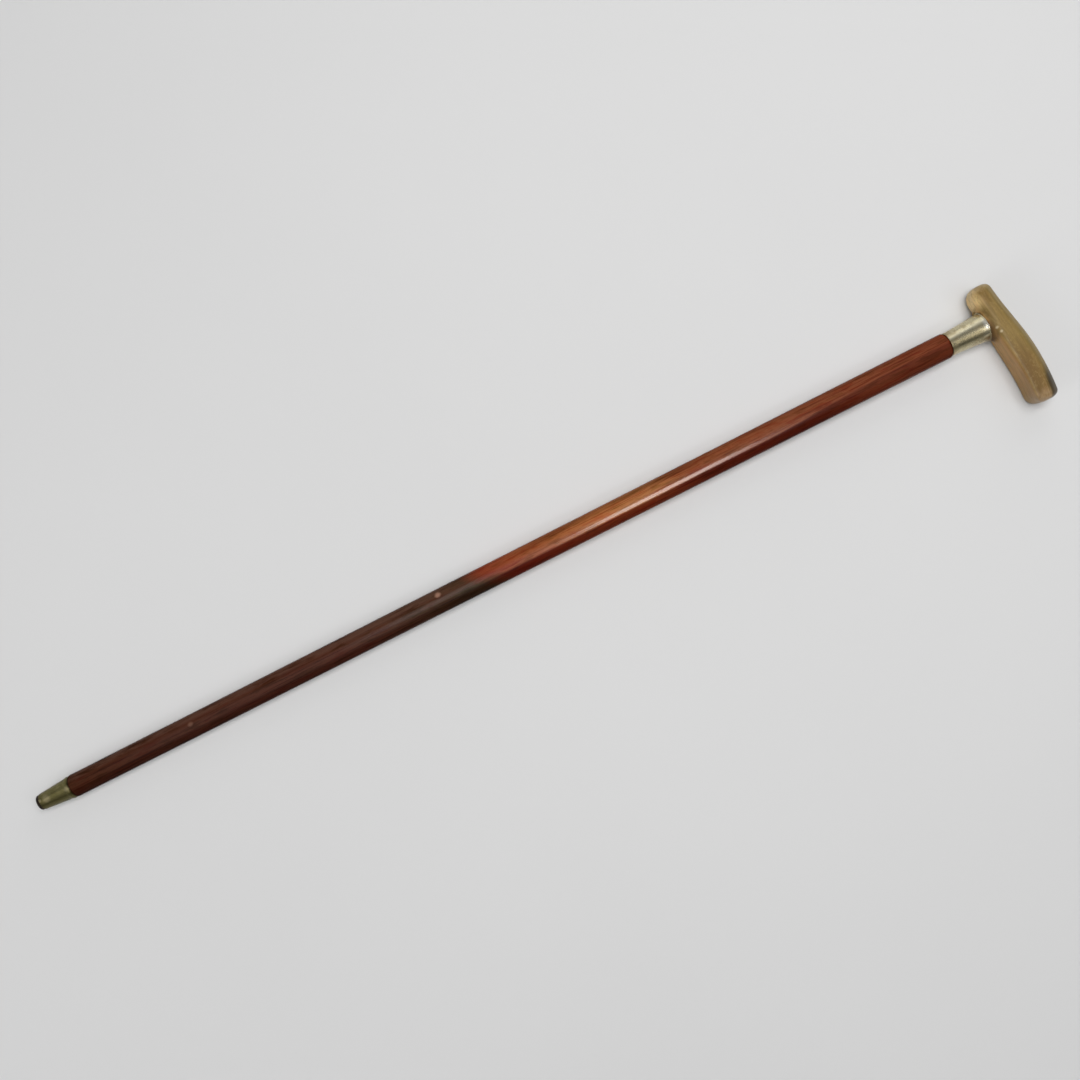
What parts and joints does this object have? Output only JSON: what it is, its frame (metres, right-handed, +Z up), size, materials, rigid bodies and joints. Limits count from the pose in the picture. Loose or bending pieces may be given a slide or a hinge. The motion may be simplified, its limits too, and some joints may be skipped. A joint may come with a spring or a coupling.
{
  "type": "walking stick",
  "caption": "Full-length walking stick with an arched horn handle, flared plated collar, tapered varnished wooden shaft and brass ferrule with an iron tip.",
  "frame": {"origin": "middle of the lowest plane of the object's box, as the stick lies on its side", "axes": "+X from the foot to the handle, -Y towards the end of the handle's long arm, +Z up"},
  "size_m": [0.896, 0.1088, 0.0262],
  "materials": {
    "horn": "polished pale and brown horn with darker growth streaks",
    "plated_collar": "polished plate, slightly tarnished and finely scratched",
    "varnished_wood": "glossy red-brown varnish over straight grain, worn in places",
    "aged_brass": "dull aged brass with brown patina",
    "iron": "worn dark iron",
    "steel": "plain turned steel"
  },
  "bodies": {
    "root": {"horn_handle": "horn", "collar": "plated_collar", "shaft": "varnished_wood", "ferrule": "aged_brass", "ferrule_tip": "iron", "handle_stud": "steel"}
  },
  "joints": []
}
